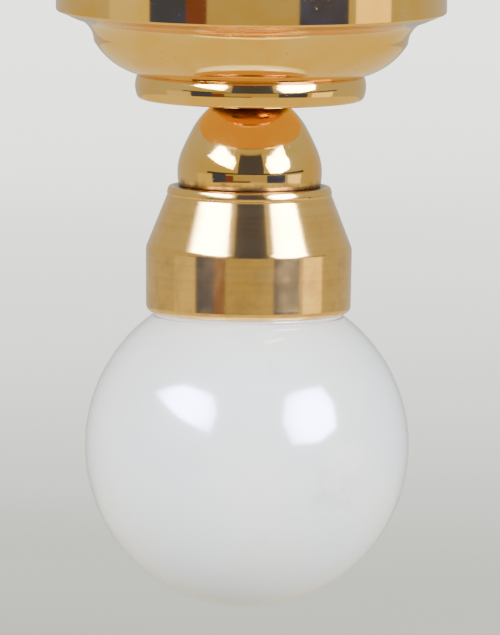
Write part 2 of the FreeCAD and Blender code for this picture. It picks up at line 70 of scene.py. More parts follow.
def edit_all():
    """Edit mode, with the whole mesh selected."""
    bpy.ops.object.mode_set(mode="EDIT")
    bpy.ops.mesh.select_all(action="SELECT")


def work_on(piece):
    """Makes one piece the only selected and active one."""
    let_go()
    piece.select_set(True)
    bpy.context.view_layer.objects.active = piece


def settle(piece):
    """Puts a piece's place, turn and size into its mesh, so that its object sits at the origin."""
    work_on(piece)
    bpy.ops.object.transform_apply(location=True, rotation=True, scale=True)


# %% [markdown]
# ## Outlines
#
# A turned piece is drawn as half of its section: a list of points, each a distance from the axis and a
# height above the piece's foot, in millimetres. The list runs anticlockwise. A point may also carry a
# radius, and then the line to the next point is an arc: it swells outwards, or inwards where the point
# says HOLLOW. That keeps each list as short as a turner's drawing, and the code works out the points along
# the arcs.

# %% Outline helpers
ARC_STEP = math.radians(6)
HOLLOW = True


def along_arc(start, end, radius, hollow, step):
    """Points from start up to, but not including, end, on the shorter arc of that radius."""
    half = (end - start) / 2
    aside = Vector((-half.y, half.x)).normalized() * math.sqrt(radius ** 2 - half.length_squared)
    centre = start + half - aside if hollow else start + half + aside
    spoke = start - centre
    turn = spoke.angle_signed(end - centre)
    count = max(1, math.ceil(abs(turn) / step))
    points = []
    for i in range(count):
        angle = -turn * i / count
        points.append(centre + Vector((
            spoke.x * math.cos(angle) - spoke.y * math.sin(angle),
            spoke.x * math.sin(angle) + spoke.y * math.cos(angle),
        )))
    return points


def written_out(outline, step=ARC_STEP):
    """An outline with its arcs turned into points. The last point meets the first again."""
    points = []
    for here, after in zip(outline, outline[1:] + outline[:1]):
        start, end = Vector(here[:2]), Vector(after[:2])
        if len(here) == 2:
            points.append(start)
        else:
            hollow = len(here) == 4
            points += along_arc(start, end, here[2], hollow, step)
    return points + [points[0]]


quarter_circle = along_arc(Vector((1, 0)), Vector((0, 1)), 1, False, ARC_STEP)
print("a quarter circle has", len(quarter_circle), "points")

# %% [markdown]
# ## Turning
#
# A lathe spins the stock while the tool follows the outline. Blender's Spin does the same to a line of
# edges. The line starts as a tiny plane whose corners are merged into one point, and the point is extruded
# from one end of the outline to the other. After the spin, the seam and the poles are merged, and any edge
# left lying on the axis is deleted. All faces of a spun line face the same way, either all out or all in,
# so the sign of the volume says whether to flip them. Recalculating them instead would turn a sealed
# hollow inside out.

# %% Turning helper
TURN_STEPS = 160
WELD = 0.0005 * MM
CRISP = math.radians(28)
EASE_SEGMENTS = 2


def signed_volume(mesh):
    """Volume of a closed mesh: it is below zero when the faces point inwards."""
    total = 0.0
    mesh.calc_loop_triangles()
    for triangle in mesh.loop_triangles:
        a, b, c = (mesh.vertices[i].co for i in triangle.vertices)
        total += a.dot(b.cross(c)) / 6
    return total


def face_outwards(piece):
    """Flips a closed piece whose faces point inwards."""
    if signed_volume(piece.data) < 0:
        work_on(piece)
        edit_all()
        bpy.ops.mesh.flip_normals()
        bpy.ops.object.mode_set(mode="OBJECT")


def smooth(piece):
    """Smooth shading that keeps the edges sharper than the crisp angle."""
    work_on(piece)
    bpy.ops.object.shade_smooth_by_angle(angle=CRISP)


def line_of(name, points, foot):
    """A new piece that is only a line of edges along the points, in the XZ plane."""
    let_go()
    start = points[0]
    bpy.ops.mesh.primitive_plane_add(size=MM, location=(start.x * MM, 0, foot + start.y * MM))
    piece = bpy.context.object
    piece.name = name
    settle(piece)
    edit_all()
    bpy.ops.mesh.merge(type="CENTER")
    for here, after in zip(points, points[1:]):
        step = (after - here) * MM
        bpy.ops.mesh.extrude_region_move(TRANSFORM_OT_translate={"value": (step.x, 0, step.y)})
    bpy.ops.object.mode_set(mode="OBJECT")
    return piece


def turned(name, outline, foot, steps=TURN_STEPS, step=ARC_STEP, ease=0.0):
    """A turned piece. foot is the height of the outline's zero, in metres, and ease is how far its sharp
    edges are broken, in millimetres."""
    piece = line_of(name, written_out(outline, step), foot)
    work_on(piece)
    edit_all()
    bpy.ops.mesh.spin(steps=steps, angle=math.tau, center=(0, 0, 0), axis=(0, 0, 1))
    bpy.ops.mesh.select_all(action="SELECT")
    bpy.ops.mesh.remove_doubles(threshold=WELD)
    bpy.ops.mesh.delete_loose()
    bpy.ops.object.mode_set(mode="OBJECT")
    face_outwards(piece)
    if ease:
        break_edges(piece, ease)
    smooth(piece)
    volume = signed_volume(piece.data) / MM ** 3
    print(name, "has", len(piece.data.polygons), "faces and", round(volume, 3), "mm3")
    return piece


def break_edges(piece, width):
    """Rounds the sharp edges of a piece by that many millimetres, so that they catch the light."""
    work_on(piece)
    bevel = piece.modifiers.new("broken_edges", "BEVEL")
    bevel.width = width * MM
    bevel.segments = EASE_SEGMENTS
    bevel.limit_method = "ANGLE"
    bevel.angle_limit = CRISP
    bpy.ops.object.modifier_apply(modifier=bevel.name)


def stands_for(piece, node, body, finish):
    """Dresses a finished piece, hides the CAD node that it replaces and hangs it on the empty of the body
    that it rides on.
    """
    piece.data.materials.clear()
    piece.data.materials.append(finish)
    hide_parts(node)
    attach(piece, body)


def foot_of(node):
    """Height of a node's foot in the frame, in metres."""
    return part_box(node)[0].z


def top_of(node):
    """Height of a node's top in the frame, in metres."""
    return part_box(node)[1].z


def radius_of(node):
    """Radius of a round node, in millimetres."""
    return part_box(node)[1].x / MM


def height_of(node):
    """Height of a node, in millimetres."""
    low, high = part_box(node)
    return (high.z - low.z) / MM


# %% [markdown]
# ## Shader sums
#
# Procedural finishes need a lot of small sums. Adding a Math node by hand for each is slow to read, so a
# small class wraps a node's output and lets Python's own signs add the nodes. `1 - mask * 0.5` then reads
# as it would on paper. A second class starts a material, adds any other node and sets the final shader.

# %% Node helpers
MIX_FACTOR, MIX_FIRST, MIX_SECOND, MIX_RESULT = 0, 6, 7, 2  # the Mix node's own sockets when it mixes colours


class Wire:
    """One output of a material's nodes, which can be used in sums."""

    def __init__(self, finish, socket):
        self.finish = finish
        self.socket = socket

    def sum(self, operation, first, second):
        """Adds the Math node that does one sign's work."""
        return self.finish.node("ShaderNodeMath", {"operation": operation}, {0: first, 1: second})

    def __add__(self, other):
        return self.sum("ADD", self, other)

    def __sub__(self, other):
        return self.sum("SUBTRACT", self, other)

    def __rsub__(self, other):
        return self.sum("SUBTRACT", other, self)

    def __mul__(self, other):
        return self.sum("MULTIPLY", self, other)

    def __truediv__(self, other):
        return self.sum("DIVIDE", self, other)

    def __pow__(self, other):
        return self.sum("POWER", self, other)

    __radd__ = __add__
    __rmul__ = __mul__


class Finish:
    """A material in the making, with the shader that ends it."""

    def __init__(self, name):
        self.material = bpy.data.materials.new(name)
        self.material.use_nodes = True
        self.tree = self.material.node_tree
        self.shader = self.tree.nodes["Principled BSDF"]

    def join(self, socket, value):
        """Links another node's output to a socket, or sets the socket's own value."""
        if isinstance(value, Wire):
            self.tree.links.new(value.socket, socket)
        else:
            socket.default_value = value

    def node(self, kind, settings, inputs, output=0):
        """Adds a node, its settings first and then its sockets, and gives back one of its outputs."""
        made = self.tree.nodes.new(kind)
        for name, value in settings.items():
            setattr(made, name, value)
        for name, value in inputs.items():
            self.join(made.inputs[name], value)
        return Wire(self, made.outputs[output])

    def set(self, **values):
        """Sets the shader's sockets: base_color is Base Color, and so on."""
        for name, value in values.items():
            self.join(self.shader.inputs[SOCKETS[name]], value)

    def place(self):
        """The point on the surface, in metres, in the light's own frame."""
        return self.node("ShaderNodeTexCoord", {}, {}, "Object")

    def axes(self):
        """The same point as three numbers."""
        place = self.place()
        return [self.node("ShaderNodeSeparateXYZ", {}, {0: place}, axis) for axis in "XYZ"]

    def from_axis(self):
        """How far the point is from the light's own axis, in metres."""
        x, y = self.axes()[:2]
        return (x * x + y * y) ** 0.5

    def height(self):
        """How high the point is in the frame, in metres."""
        return self.node("ShaderNodeSeparateXYZ", {}, {0: self.place()}, "Z")

    def away_from(self, centre):
        """How far the point is from a place given in metres."""
        inputs = {0: self.place(), 1: tuple(centre)}
        return self.node("ShaderNodeVectorMath", {"operation": "DISTANCE"}, inputs, "Value")

    def noise(self, place, size, detail=2.0, roughness=0.5):
        """Soft random shades from 0 to 1, with blobs of about that many millimetres."""
        return self.node("ShaderNodeTexNoise", {}, {
            "Vector": place,
            "Scale": 1 / (size * MM),
            "Detail": detail,
            "Roughness": roughness,
        })

    def ramp(self, value, low, high):
        """0 below low, 1 above high, and smooth between."""
        return self.node("ShaderNodeMapRange", {"interpolation_type": "SMOOTHSTEP"}, {
            "Value": value,
            "From Min": low,
            "From Max": high,
        })

    def blend(self, mask, first, second):
        """A colour that goes from the first to the second as the mask goes from 0 to 1."""
        inputs = {MIX_FACTOR: mask, MIX_FIRST: first, MIX_SECOND: second}
        return self.node("ShaderNodeMix", {"data_type": "RGBA"}, inputs, MIX_RESULT)

    def bump(self, height, depth, normal=None):
        """Turns a height from 0 to 1 into relief that many millimetres deep."""
        inputs = {"Height": height, "Distance": depth * MM, "Strength": 1.0}
        if normal is not None:
            inputs["Normal"] = normal
        return self.node("ShaderNodeBump", {}, inputs)

    def tool_rings(self, spacing, drift=120.0):
        """Noise drawn out into fine rings round the axis, as a turning tool leaves them. spacing is in
        millimetres, and drift is how quickly the rings change along their way round."""
        stretched = self.node("ShaderNodeCombineXYZ", {}, {
            "X": self.from_axis() / (spacing * MM),
            "Y": self.height() / (spacing * MM),
            "Z": self.axes()[0] * drift,
        })
        return self.node("ShaderNodeTexNoise", {}, {"Vector": stretched, "Scale": 1.0, "Detail": 3.0})


SOCKETS = {
    "base_color": "Base Color",
    "metallic": "Metallic",
    "roughness": "Roughness",
    "normal": "Normal",
    "ior": "IOR",
    "anisotropic": "Anisotropic",
    "anisotropic_turn": "Anisotropic Rotation",
    "transmission": "Transmission Weight",
    "subsurface": "Subsurface Weight",
    "subsurface_radius": "Subsurface Radius",
    "subsurface_scale": "Subsurface Scale",
    "coat": "Coat Weight",
    "coat_roughness": "Coat Roughness",
    "specular": "Specular IOR Level",
    "glow": "Emission Color",
    "glow_strength": "Emission Strength",
}

# %% [markdown]
# ## Painted shade at the joints
#
# Shade falls where one piece meets another: round the top of the bell cap, under the rose, and where the bell
# cap stands on the cup. A mask finds the surface near those two rings, and the finishes paint a dark brown
# shade there and make it a little rougher. The mask's noise makes the painted shade's edge ragged.

# %% Painted shade at the joints
# The dark brown that is painted as shade at the joints.
JUNCTION_SHADE = (0.17, 0.10, 0.04, 1)
JUNCTION_SHADE_REACH = 0.55
JUNCTION_SHADE_START = 0.5
JUNCTION_SHADE_END = 1.4
BELL_BASE = 3.28
UNDER_ROSE = (1.9, foot_of("ceiling_rose"))
ON_CUP = (BELL_BASE, top_of("gallery_cup"))


def junction_shade(finish, corners):
    """A mask for the shade painted into a corner where two pieces meet. Each corner is a ring: its radius in
    millimetres and its height in metres. The mask is 1 near the ring and fades out, with a ragged edge."""
    reach = JUNCTION_SHADE_REACH * MM
    ragged = finish.noise(finish.place(), 0.5, 3.0) * reach
    total = 0.0
    for radius, level in corners:
        out = finish.from_axis() - radius * MM
        up = finish.height() - level
        away = (out * out + up * up) ** 0.5
        total = finish.ramp(away + ragged, JUNCTION_SHADE_END * reach, JUNCTION_SHADE_START * reach) + total
    return finish.node("ShaderNodeClamp", {}, {0: total})


# The painted shade sits at these two rings.
print("the dirty rings are at", [round(level / MM, 2) for radius, level in (UNDER_ROSE, ON_CUP)], "mm")

# %% [markdown]
# ## Polished brass
#
# The rose and the bell cap are turned brass, buffed and lacquered. Three things make brass look polished
# and not painted: the reflections wobble because buffing leaves gentle waves, hair-fine rings run round
# the piece, and the lacquer has a few pin-prick spots and cloudy places. The waves and rings are relief.
# The clouds change the roughness and warm the colour.

# %% Polished brass
GOLD_WARM = (0.88, 0.50, 0.080, 1)
GOLD_PALE = (0.88, 0.55, 0.140, 1)
TARNISH = (0.36, 0.16, 0.04, 1)
RING_DEPTH = 0.00015


def polished_brass(name, wave_depth, shine):
    """Buffed and lacquered brass. wave_depth is the height of the buffing's waves, in millimetres, and shine
    is the roughness where it is cleanest."""
    finish = Finish(name)
    # Painted shade: the junction mask darkens the brass near the two joints and roughens it there.
    painted_shade_and_dirt = junction_shade(finish, [UNDER_ROSE, ON_CUP])
    place = finish.place()
    clouds = finish.noise(place, 2.2, 3.0)
    waves = finish.noise(place, 1.3, 1.0)
    rings = finish.tool_rings(0.09)
    specks = finish.ramp(finish.noise(place, 0.16, 2.0), 0.70, 0.76)
    dull = finish.ramp(clouds, 0.5, 0.8)
    tone = finish.blend(finish.ramp(clouds, 0.35, 0.65), GOLD_WARM, GOLD_PALE)
    finish.set(
        base_color=finish.blend(painted_shade_and_dirt, finish.blend(specks * 0.6, tone, TARNISH), JUNCTION_SHADE),
        metallic=1.0,
        roughness=shine + rings * 0.04 + specks * 0.25 + dull * 0.04 + painted_shade_and_dirt * 0.3,
        normal=finish.bump(waves, wave_depth, finish.bump(rings, RING_DEPTH)),
    )
    return finish.material


rose_brass = polished_brass("rose_polish", wave_depth=0.0005, shine=0.05)
bell_brass = polished_brass("bell_polish", wave_depth=0.0006, shine=0.045)
print("made", rose_brass.name, "and", bell_brass.name)

# %% [markdown]
# ## Satin brass
#
# The cup isn't buffed: it shows the turning tool's lines, so its highlights are streaks up and down. Two
# effects make that. The shader is anisotropic, which stretches each highlight across the lines, and real
# lines in relief break it up. Handling has left cloudy blotches, which are duller and a little browner. They
# are stronger on the skirt, where their brown is also painted shade that darkens the skirt. The nuts,
# washers, stem and socket shell are the same brass, left a little rougher.

# %% Satin brass
SATIN_LIGHT = (0.88, 0.55, 0.14, 1)
SATIN_DEEP = (0.84, 0.48, 0.10, 1)
# The brown of the handling blotches, and on the skirt also a painted shade.
HANDLED_AND_SHADED = (0.42, 0.25, 0.10, 1)
SKIRT_DROP = 2.85
skirt_top = top_of("gallery_cup") - SKIRT_DROP * MM


def satin_brass(name, blotches, shine):
    """Turned brass, not buffed. blotches is how strong the handling marks are, together with the painted
    shade that they add on the skirt, and shine is the roughness where it is cleanest."""
    finish = Finish(name)
    skirt = finish.ramp(finish.height(), skirt_top + 0.1 * MM, skirt_top - 0.2 * MM)
    # Painted shade: darkens the cup's top round the foot of the bell cap, and roughens it there.
    painted_shade_and_dirt = junction_shade(finish, [ON_CUP])
    place = finish.place()
    lines = finish.tool_rings(0.05, 90.0)
    bands = finish.tool_rings(0.28, 40.0)
    clouds = finish.noise(place, 0.9, 4.0, 0.6)
    # Real handling blotches, made stronger on the skirt, where they add a painted shade.
    worn_and_shaded = finish.ramp(clouds, 0.40, 0.80) * (0.5 + skirt * 0.5) * blotches
    tone = finish.blend(finish.ramp(bands, 0.3, 0.7), SATIN_DEEP, SATIN_LIGHT)
    finish.set(
        base_color=finish.blend(painted_shade_and_dirt, finish.blend(worn_and_shaded * 0.65, tone, HANDLED_AND_SHADED), JUNCTION_SHADE),
        metallic=1.0,
        roughness=shine + lines * 0.06 + worn_and_shaded * 0.10 + skirt * 0.02 + painted_shade_and_dirt * 0.2,
        anisotropic=0.5,
        anisotropic_turn=0.25,
        normal=finish.bump(bands, 0.0012, finish.bump(lines, 0.0010)),
    )
    return finish.material


cup_brass = satin_brass("cup_satin", blotches=0.8, shine=0.09)
hardware_brass = satin_brass("hardware_satin", blotches=0.5, shine=0.14)
print("made", cup_brass.name, "and", hardware_brass.name)

# %% [markdown]
# ## Opal glass
#
# Opal glass is white all through, so light goes a little way in and comes out softened. Subsurface
# scattering gives that, under a smooth, glossy surface: a coat over the glass makes its two bright spots
# as strong as those on a wet egg. A dolls' house globe has been handled: there are a few grey specks, a
# rubbed grey smudge low on one side, and the white drifts between cool and warm.

# %% Opal glass
OPAL_COOL = (0.82, 0.85, 0.87, 1)
OPAL_WARM = (0.86, 0.86, 0.835, 1)
OPAL_GREY = (0.60, 0.60, 0.585, 1)
SMUDGE_PLACE = Vector((4.0, -6.1, -23.4)) * MM


def opal_glass(name):
    """White glass that light sinks into, with the marks that handling leaves."""
    finish = Finish(name)
    place = finish.place()
    drift = finish.ramp(finish.noise(place, 5.0, 1.0), 0.4, 0.6)
    specks = finish.ramp(finish.noise(place, 0.22, 2.0, 0.6), 0.70, 0.78)
    streaks = finish.ramp(finish.noise(place, 1.4, 5.0, 0.65), 0.56, 0.76)
    near = 1 - finish.ramp(finish.away_from(SMUDGE_PLACE), 0.2 * MM, 1.9 * MM)
    smudge = near * finish.ramp(finish.noise(place, 0.8, 4.0, 0.6), 0.3, 0.7)
    # In the globe this mask holds only handling marks: specks, streaks and the smudge, with no painted shade.
    painted_shade_and_dirt = specks * 0.7 + streaks * 0.24 + smudge * 0.65
    white = finish.blend(drift, OPAL_COOL, OPAL_WARM)
    finish.set(
        base_color=finish.blend(painted_shade_and_dirt, white, OPAL_GREY),
        roughness=0.12 + streaks * 0.10 + smudge * 0.15,
        ior=2.0,
        coat=1.0,
        coat_roughness=0.10,
        subsurface=0.35,
        subsurface_radius=(1.0, 1.0, 1.0),
        subsurface_scale=0.8 * MM,
        normal=finish.bump(finish.noise(place, 2.4, 1.0), 0.006),
    )
    return finish.material


opal = opal_glass("opal_glass")
print("made", opal.name)

# %% [markdown]
# ## Small finishes
#
# The rest are seen only when the globe is off or from behind: clear bulb glass, white nylon, black
# phenolic, tinned brass, drawn wire, the tungsten coil, the little glass bead and the foam tape. Each gets
# the grain that its maker's process leaves, at its own scale.

# %% Small finishes
FOAM_CELL = 0.13
# The cut bubbles' colour is darker: a painted shade in their hollows.
SHADED_FOAM_PIT = (0.66, 0.64, 0.58, 1)
FOAM_WALL = (0.86, 0.85, 0.80, 1)
DUST = (0.50, 0.46, 0.38, 1)


def clear_glass(name, colour, rough):
    """Clear glass with the faint ripple of drawn tube."""
    finish = Finish(name)
    ripple = finish.noise(finish.place(), 1.1, 1.0)
    finish.set(
        base_color=colour,
        roughness=rough,
        ior=1.5,
        transmission=1.0,
        normal=finish.bump(ripple, 0.002),
    )
    return finish.material


def moulded(name, colour, shade, rough, grain):
    """Moulded plastic: an even colour with a slight cloudiness and a fine grain."""
    finish = Finish(name)
    place = finish.place()
    cloud = finish.noise(place, 0.7, 3.0)
    texture = finish.noise(place, grain, 2.0)
    finish.set(
        base_color=finish.blend(finish.ramp(cloud, 0.35, 0.7), colour, shade),
        roughness=rough + texture * 0.15,
        normal=finish.bump(texture, 0.002),
    )
    return finish.material


def drawn_metal(name, bright, dull, rough):
    """Drawn or dipped metal: blotchy, with a soft sheen."""
    finish = Finish(name)
    place = finish.place()
    patches = finish.noise(place, 0.18, 3.0)
    finish.set(
        base_color=finish.blend(finish.ramp(patches, 0.4, 0.7), bright, dull),
        metallic=1.0,
        roughness=rough + patches * 0.15,
        normal=finish.bump(patches, 0.002),
    )
    return finish.material


def foam_tape(name):
    """Closed-cell foam: small bubbles cut open, their hollows painted darker as shade, under a skin of clear
    glue that has picked up dust.
    """
    finish = Finish(name)
    place = finish.place()
    inputs = {"Vector": place, "Scale": 1 / (FOAM_CELL * MM)}
    cells = finish.node("ShaderNodeTexVoronoi", {}, inputs, "Distance")
    dust = finish.ramp(finish.noise(place, 0.5, 4.0, 0.6), 0.52, 0.75)
    walls = finish.ramp(cells, 0.15, 0.6)
    # Painted shade: the bubbles are coloured darker than the walls between them.
    foam = finish.blend(walls, SHADED_FOAM_PIT, FOAM_WALL)
    finish.set(
        base_color=finish.blend(dust * 0.5, foam, DUST),
        roughness=0.75 + dust * 0.1,
        normal=finish.bump(walls, 0.03),
    )
    return finish.material


bulb_clear = clear_glass("clear_glass", (0.97, 0.98, 0.98, 1), 0.02)
bead_glass = clear_glass("bead_glass", (0.50, 0.66, 0.78, 1), 0.12)
black_phenolic = moulded("black_phenolic", (0.022, 0.019, 0.017, 1), (0.045, 0.036, 0.03, 1), 0.32, 0.08)
white_nylon = moulded("white_nylon", (0.80, 0.79, 0.74, 1), (0.74, 0.72, 0.65, 1), 0.38, 0.10)
tinned_brass = drawn_metal("tinned_brass", (0.78, 0.77, 0.74, 1), (0.60, 0.58, 0.53, 1), 0.24)
nickel_wire = drawn_metal("nickel_wire", (0.66, 0.64, 0.60, 1), (0.50, 0.47, 0.42, 1), 0.22)
tungsten = drawn_metal("tungsten", (0.30, 0.30, 0.32, 1), (0.17, 0.17, 0.19, 1), 0.36)
white_foam = foam_tape("white_foam")
print("made", len(bpy.data.materials), "materials in all")

# %% [markdown]
# ## The ceiling rose
#
# The rose is the plate against the ceiling: a rim, a shallow cone, a cove, a bowl and a swelling bead at
# the bottom. On the real one a form tool cuts this from bar in one go. The outline below is that tool's
# shape. Behind, it is bored out in three steps, which leaves a seat for the foam and a well for the nut.

# %% Ceiling rose
STEM_HOLE = 1.25
BEAD_FOOT = 5.0
BEAD_CORNER = 0.27
BEAD_SIDE = 5.277
BEAD_SWELL = 1.3
BEAD_LOW = 0.2
BEAD_HIGH = 1.06
BEAD_EDGE = 0.07
BOWL_FOOT = 5.2
BOWL_CURVE = 3.26
BOWL_SIDE = 7.27
BOWL_TOP = 2.65
COVE_FOOT = 7.3
COVE_DROP = 1.2
COVE_CURVE = 1.1
CONE_FOOT = 8.17
CONE_DROP = 0.33
ROSE_RIM = 9.05
RIM_HEIGHT = 1.4
RIM_EDGE = 0.12
SEAT_RADIUS = 8.25
PAD_SEAT = 0.6
HOLLOW_RADIUS = 6.4
HOLLOW_FLOOR = 2.5
WELL_RADIUS = 4.4
WELL_FLOOR = 0.85
rose_top = height_of("ceiling_rose")
rim_foot = rose_top - RIM_HEIGHT

rose = turned("rose", [
    (STEM_HOLE, 0),
    (BEAD_FOOT, 0, BEAD_CORNER),
    (BEAD_SIDE, BEAD_LOW, BEAD_SWELL),
    (BEAD_SIDE, BEAD_HIGH, BEAD_EDGE),
    (BOWL_FOOT, 1.12),
    (BOWL_FOOT, 1.14, BOWL_CURVE),
    (BOWL_SIDE, BOWL_TOP),
    (COVE_FOOT, rim_foot - COVE_DROP, COVE_CURVE, HOLLOW),
    (CONE_FOOT, rim_foot - CONE_DROP),
    (ROSE_RIM - RIM_EDGE, rim_foot, RIM_EDGE),
    (ROSE_RIM, rim_foot + RIM_EDGE),
    (ROSE_RIM, rose_top - RIM_EDGE, RIM_EDGE),
    (ROSE_RIM - RIM_EDGE, rose_top),
    (SEAT_RADIUS, rose_top),
    (SEAT_RADIUS, rose_top - PAD_SEAT),
    (HOLLOW_RADIUS, rose_top - PAD_SEAT),
    (HOLLOW_RADIUS, HOLLOW_FLOOR),
    (WELL_RADIUS, HOLLOW_FLOOR),
    (WELL_RADIUS, WELL_FLOOR),
    (STEM_HOLE, WELL_FLOOR),
], foot_of("ceiling_rose"), step=math.radians(3), ease=0.03)
stands_for(rose, "ceiling_rose", "canopy", rose_brass)

# %% [markdown]
# ## The foam pad
#
# The light sticks up with a ring of double-sided foam tape. Die-cut foam is never quite true: its cut
# sides bulge a little and its faces are slightly uneven. A turned ring with swelling sides, and a little
# seeded scatter of its points, shows that.

# %% Foam pad
PAD_INNER = 6.5
PAD_OUTER = 8.2
PAD_BULGE = 0.07
PAD_SWELL = 1.4
PAD_SLACK = 0.01
PAD_ROUGHNESS = 0.016
PAD_SEED = 7
pad_top = height_of("foam_pad") - 2 * PAD_SLACK
pad = turned("pad", [
    (PAD_INNER + PAD_BULGE, PAD_SLACK),
    (PAD_OUTER - PAD_BULGE, PAD_SLACK, PAD_SWELL),
    (PAD_OUTER - PAD_BULGE, pad_top),
    (7.65, pad_top),
    (7.05, pad_top),
    (PAD_INNER + PAD_BULGE, pad_top, PAD_SWELL),
], foot_of("foam_pad"), step=math.radians(5))
work_on(pad)
edit_all()
bpy.ops.transform.vertex_random(offset=PAD_ROUGHNESS * MM, seed=PAD_SEED)
bpy.ops.object.mode_set(mode="OBJECT")
stands_for(pad, "foam_pad", "canopy", white_foam)

# %% [markdown]
# ## The stem
#
# The stem is a brass tube with a fine thread at both ends, and everything is clamped on it. Only its top
# shows, inside the rose, so evenly spaced V grooves read as a thread and keep the mesh light.

# %% Stem
STEM_RADIUS = 1.2
STEM_BORE = 0.7
THREAD_PITCH = 0.45
THREAD_DEPTH = 0.16
THREAD_HALF = THREAD_PITCH * 0.38
END_CHAMFER = 0.2
stem_top = height_of("threaded_stem")
threads = int((stem_top - 2 * END_CHAMFER) / THREAD_PITCH)
thread_outline = [(STEM_BORE, 0), (STEM_RADIUS - END_CHAMFER, 0)]
for i in range(threads):
    middle = END_CHAMFER + THREAD_PITCH * (i + 0.5)
    thread_outline += [
        (STEM_RADIUS, middle - THREAD_HALF),
        (STEM_RADIUS - THREAD_DEPTH, middle),
        (STEM_RADIUS, middle + THREAD_HALF),
    ]
thread_outline += [(STEM_RADIUS - END_CHAMFER, stem_top), (STEM_BORE, stem_top)]
stem = turned("stem", thread_outline, foot_of("threaded_stem"), steps=64)
stands_for(stem, "threaded_stem", "canopy", hardware_brass)

# %% [markdown]
# ## Nuts and washers
#
# A nut starts as a turned blank with both rims chamfered, and a hexagon is then cut from it. Here the
# blank is turned, and a Boolean keeps only what lies inside a six-sided prism, which leaves the same
# curved chamfer marks at the corners. One nut and one washer are made, and each is copied to its second
# place.

# %% Nuts and washers
NUT_FLATS = 3.8
NUT_BORE = 1.22
NUT_CHAMFER = 0.19
BLANK_SPARE = 0.01
PRISM_SPARE = 1
nut_height = height_of("rose_nut")
nut_corner = NUT_FLATS / 2 / math.cos(math.pi / 6)


def make_nut(name, node):
    """A chamfered blank cut to a hexagon. The blank is a little too wide and the prism a little too tall, so
    that none of their faces coincide."""
    blank_radius = nut_corner + BLANK_SPARE
    blank = turned(name, [
        (NUT_BORE, 0),
        (NUT_FLATS / 2, 0),
        (blank_radius, NUT_CHAMFER),
        (blank_radius, nut_height - NUT_CHAMFER),
        (NUT_FLATS / 2, nut_height),
        (NUT_BORE, nut_height),
    ], foot_of(node), steps=96)
    middle = foot_of(node) + nut_height / 2 * MM
    let_go()
    bpy.ops.mesh.primitive_cylinder_add(
        vertices=6, radius=nut_corner * MM, depth=(nut_height + PRISM_SPARE) * MM,
        location=(0, 0, middle), rotation=(0, 0, math.radians(30)))
    prism = bpy.context.object
    work_on(blank)
    cut = blank.modifiers.new("hexagon", "BOOLEAN")
    cut.operation = "INTERSECT"
    cut.object = prism
    bpy.ops.object.modifier_apply(modifier=cut.name)
    bpy.data.objects.remove(prism)
    smooth(blank)
    return blank


def copied(piece, name, drop):
    """A copy with a mesh of its own, moved along Z."""
    work_on(piece)
    bpy.ops.object.duplicate()
    twin = bpy.context.object
    twin.name = name
    twin.location.z += drop
    settle(twin)
    return twin


nut = make_nut("nut_above", "rose_nut")
lower_nut = copied(nut, "nut_below", foot_of("cup_nut") - foot_of("rose_nut"))
washer = turned("washer_above", [
    (STEM_HOLE, 0),
    (radius_of("rose_washer"), 0),
    (radius_of("rose_washer"), height_of("rose_washer")),
    (STEM_HOLE, height_of("rose_washer")),
], foot_of("rose_washer"), steps=96, ease=0.03)
lower_washer = copied(washer, "washer_below", foot_of("cup_washer") - foot_of("rose_washer"))
fastenings = {"rose_nut": nut, "cup_nut": lower_nut, "rose_washer": washer, "cup_washer": lower_washer}
for node, piece in fastenings.items():
    stands_for(piece, node, "canopy", hardware_brass)
print("the nut is", round(nut_corner * 2, 3), "mm across its corners")

# %% [markdown]
# ## The bell cap
#
# The bell cap is a solid spacer: a rounded hip at the bottom, a nearly straight slope and a rounder crown.
# It is polished like the rose, and mirrors the rose's underside in its upper half, which is why it looks a
# deeper gold there. Nothing has to be painted for that.

# %% Bell cap
BELL_EDGE = 0.05
HIP_CURVE = 2.6
WAIST_RADIUS = 3.13
WAIST = 1.68
SLOPE_CURVE = 12
BROW_RADIUS = 2.66
BROW = 2.65
CROWN_CURVE = 3.4
BELL_TOP_RADIUS = 1.32
bell_top = height_of("bell_cap")
bell = turned("bell", [
    (STEM_HOLE, 0),
    (BELL_BASE - BELL_EDGE, 0),
    (BELL_BASE, BELL_EDGE, HIP_CURVE),
    (WAIST_RADIUS, WAIST, SLOPE_CURVE),
    (BROW_RADIUS, BROW, CROWN_CURVE),
    (BELL_TOP_RADIUS, bell_top),
    (STEM_HOLE, bell_top),
], foot_of("bell_cap"), step=math.radians(1.5))
stands_for(bell, "bell_cap", "canopy", bell_brass)

# %% [markdown]
# ## The gallery cup
#
# The cup holds the globe. From the top it has a rounded rim, a fine groove, a conical shoulder, a rounded
# break and a straight skirt whose mouth is rounded over. Smooth shading spreads a corner's turn over the
# whole face beside it, so a ring of points stands just below the groove and keeps the shoulder's shading
# straight.

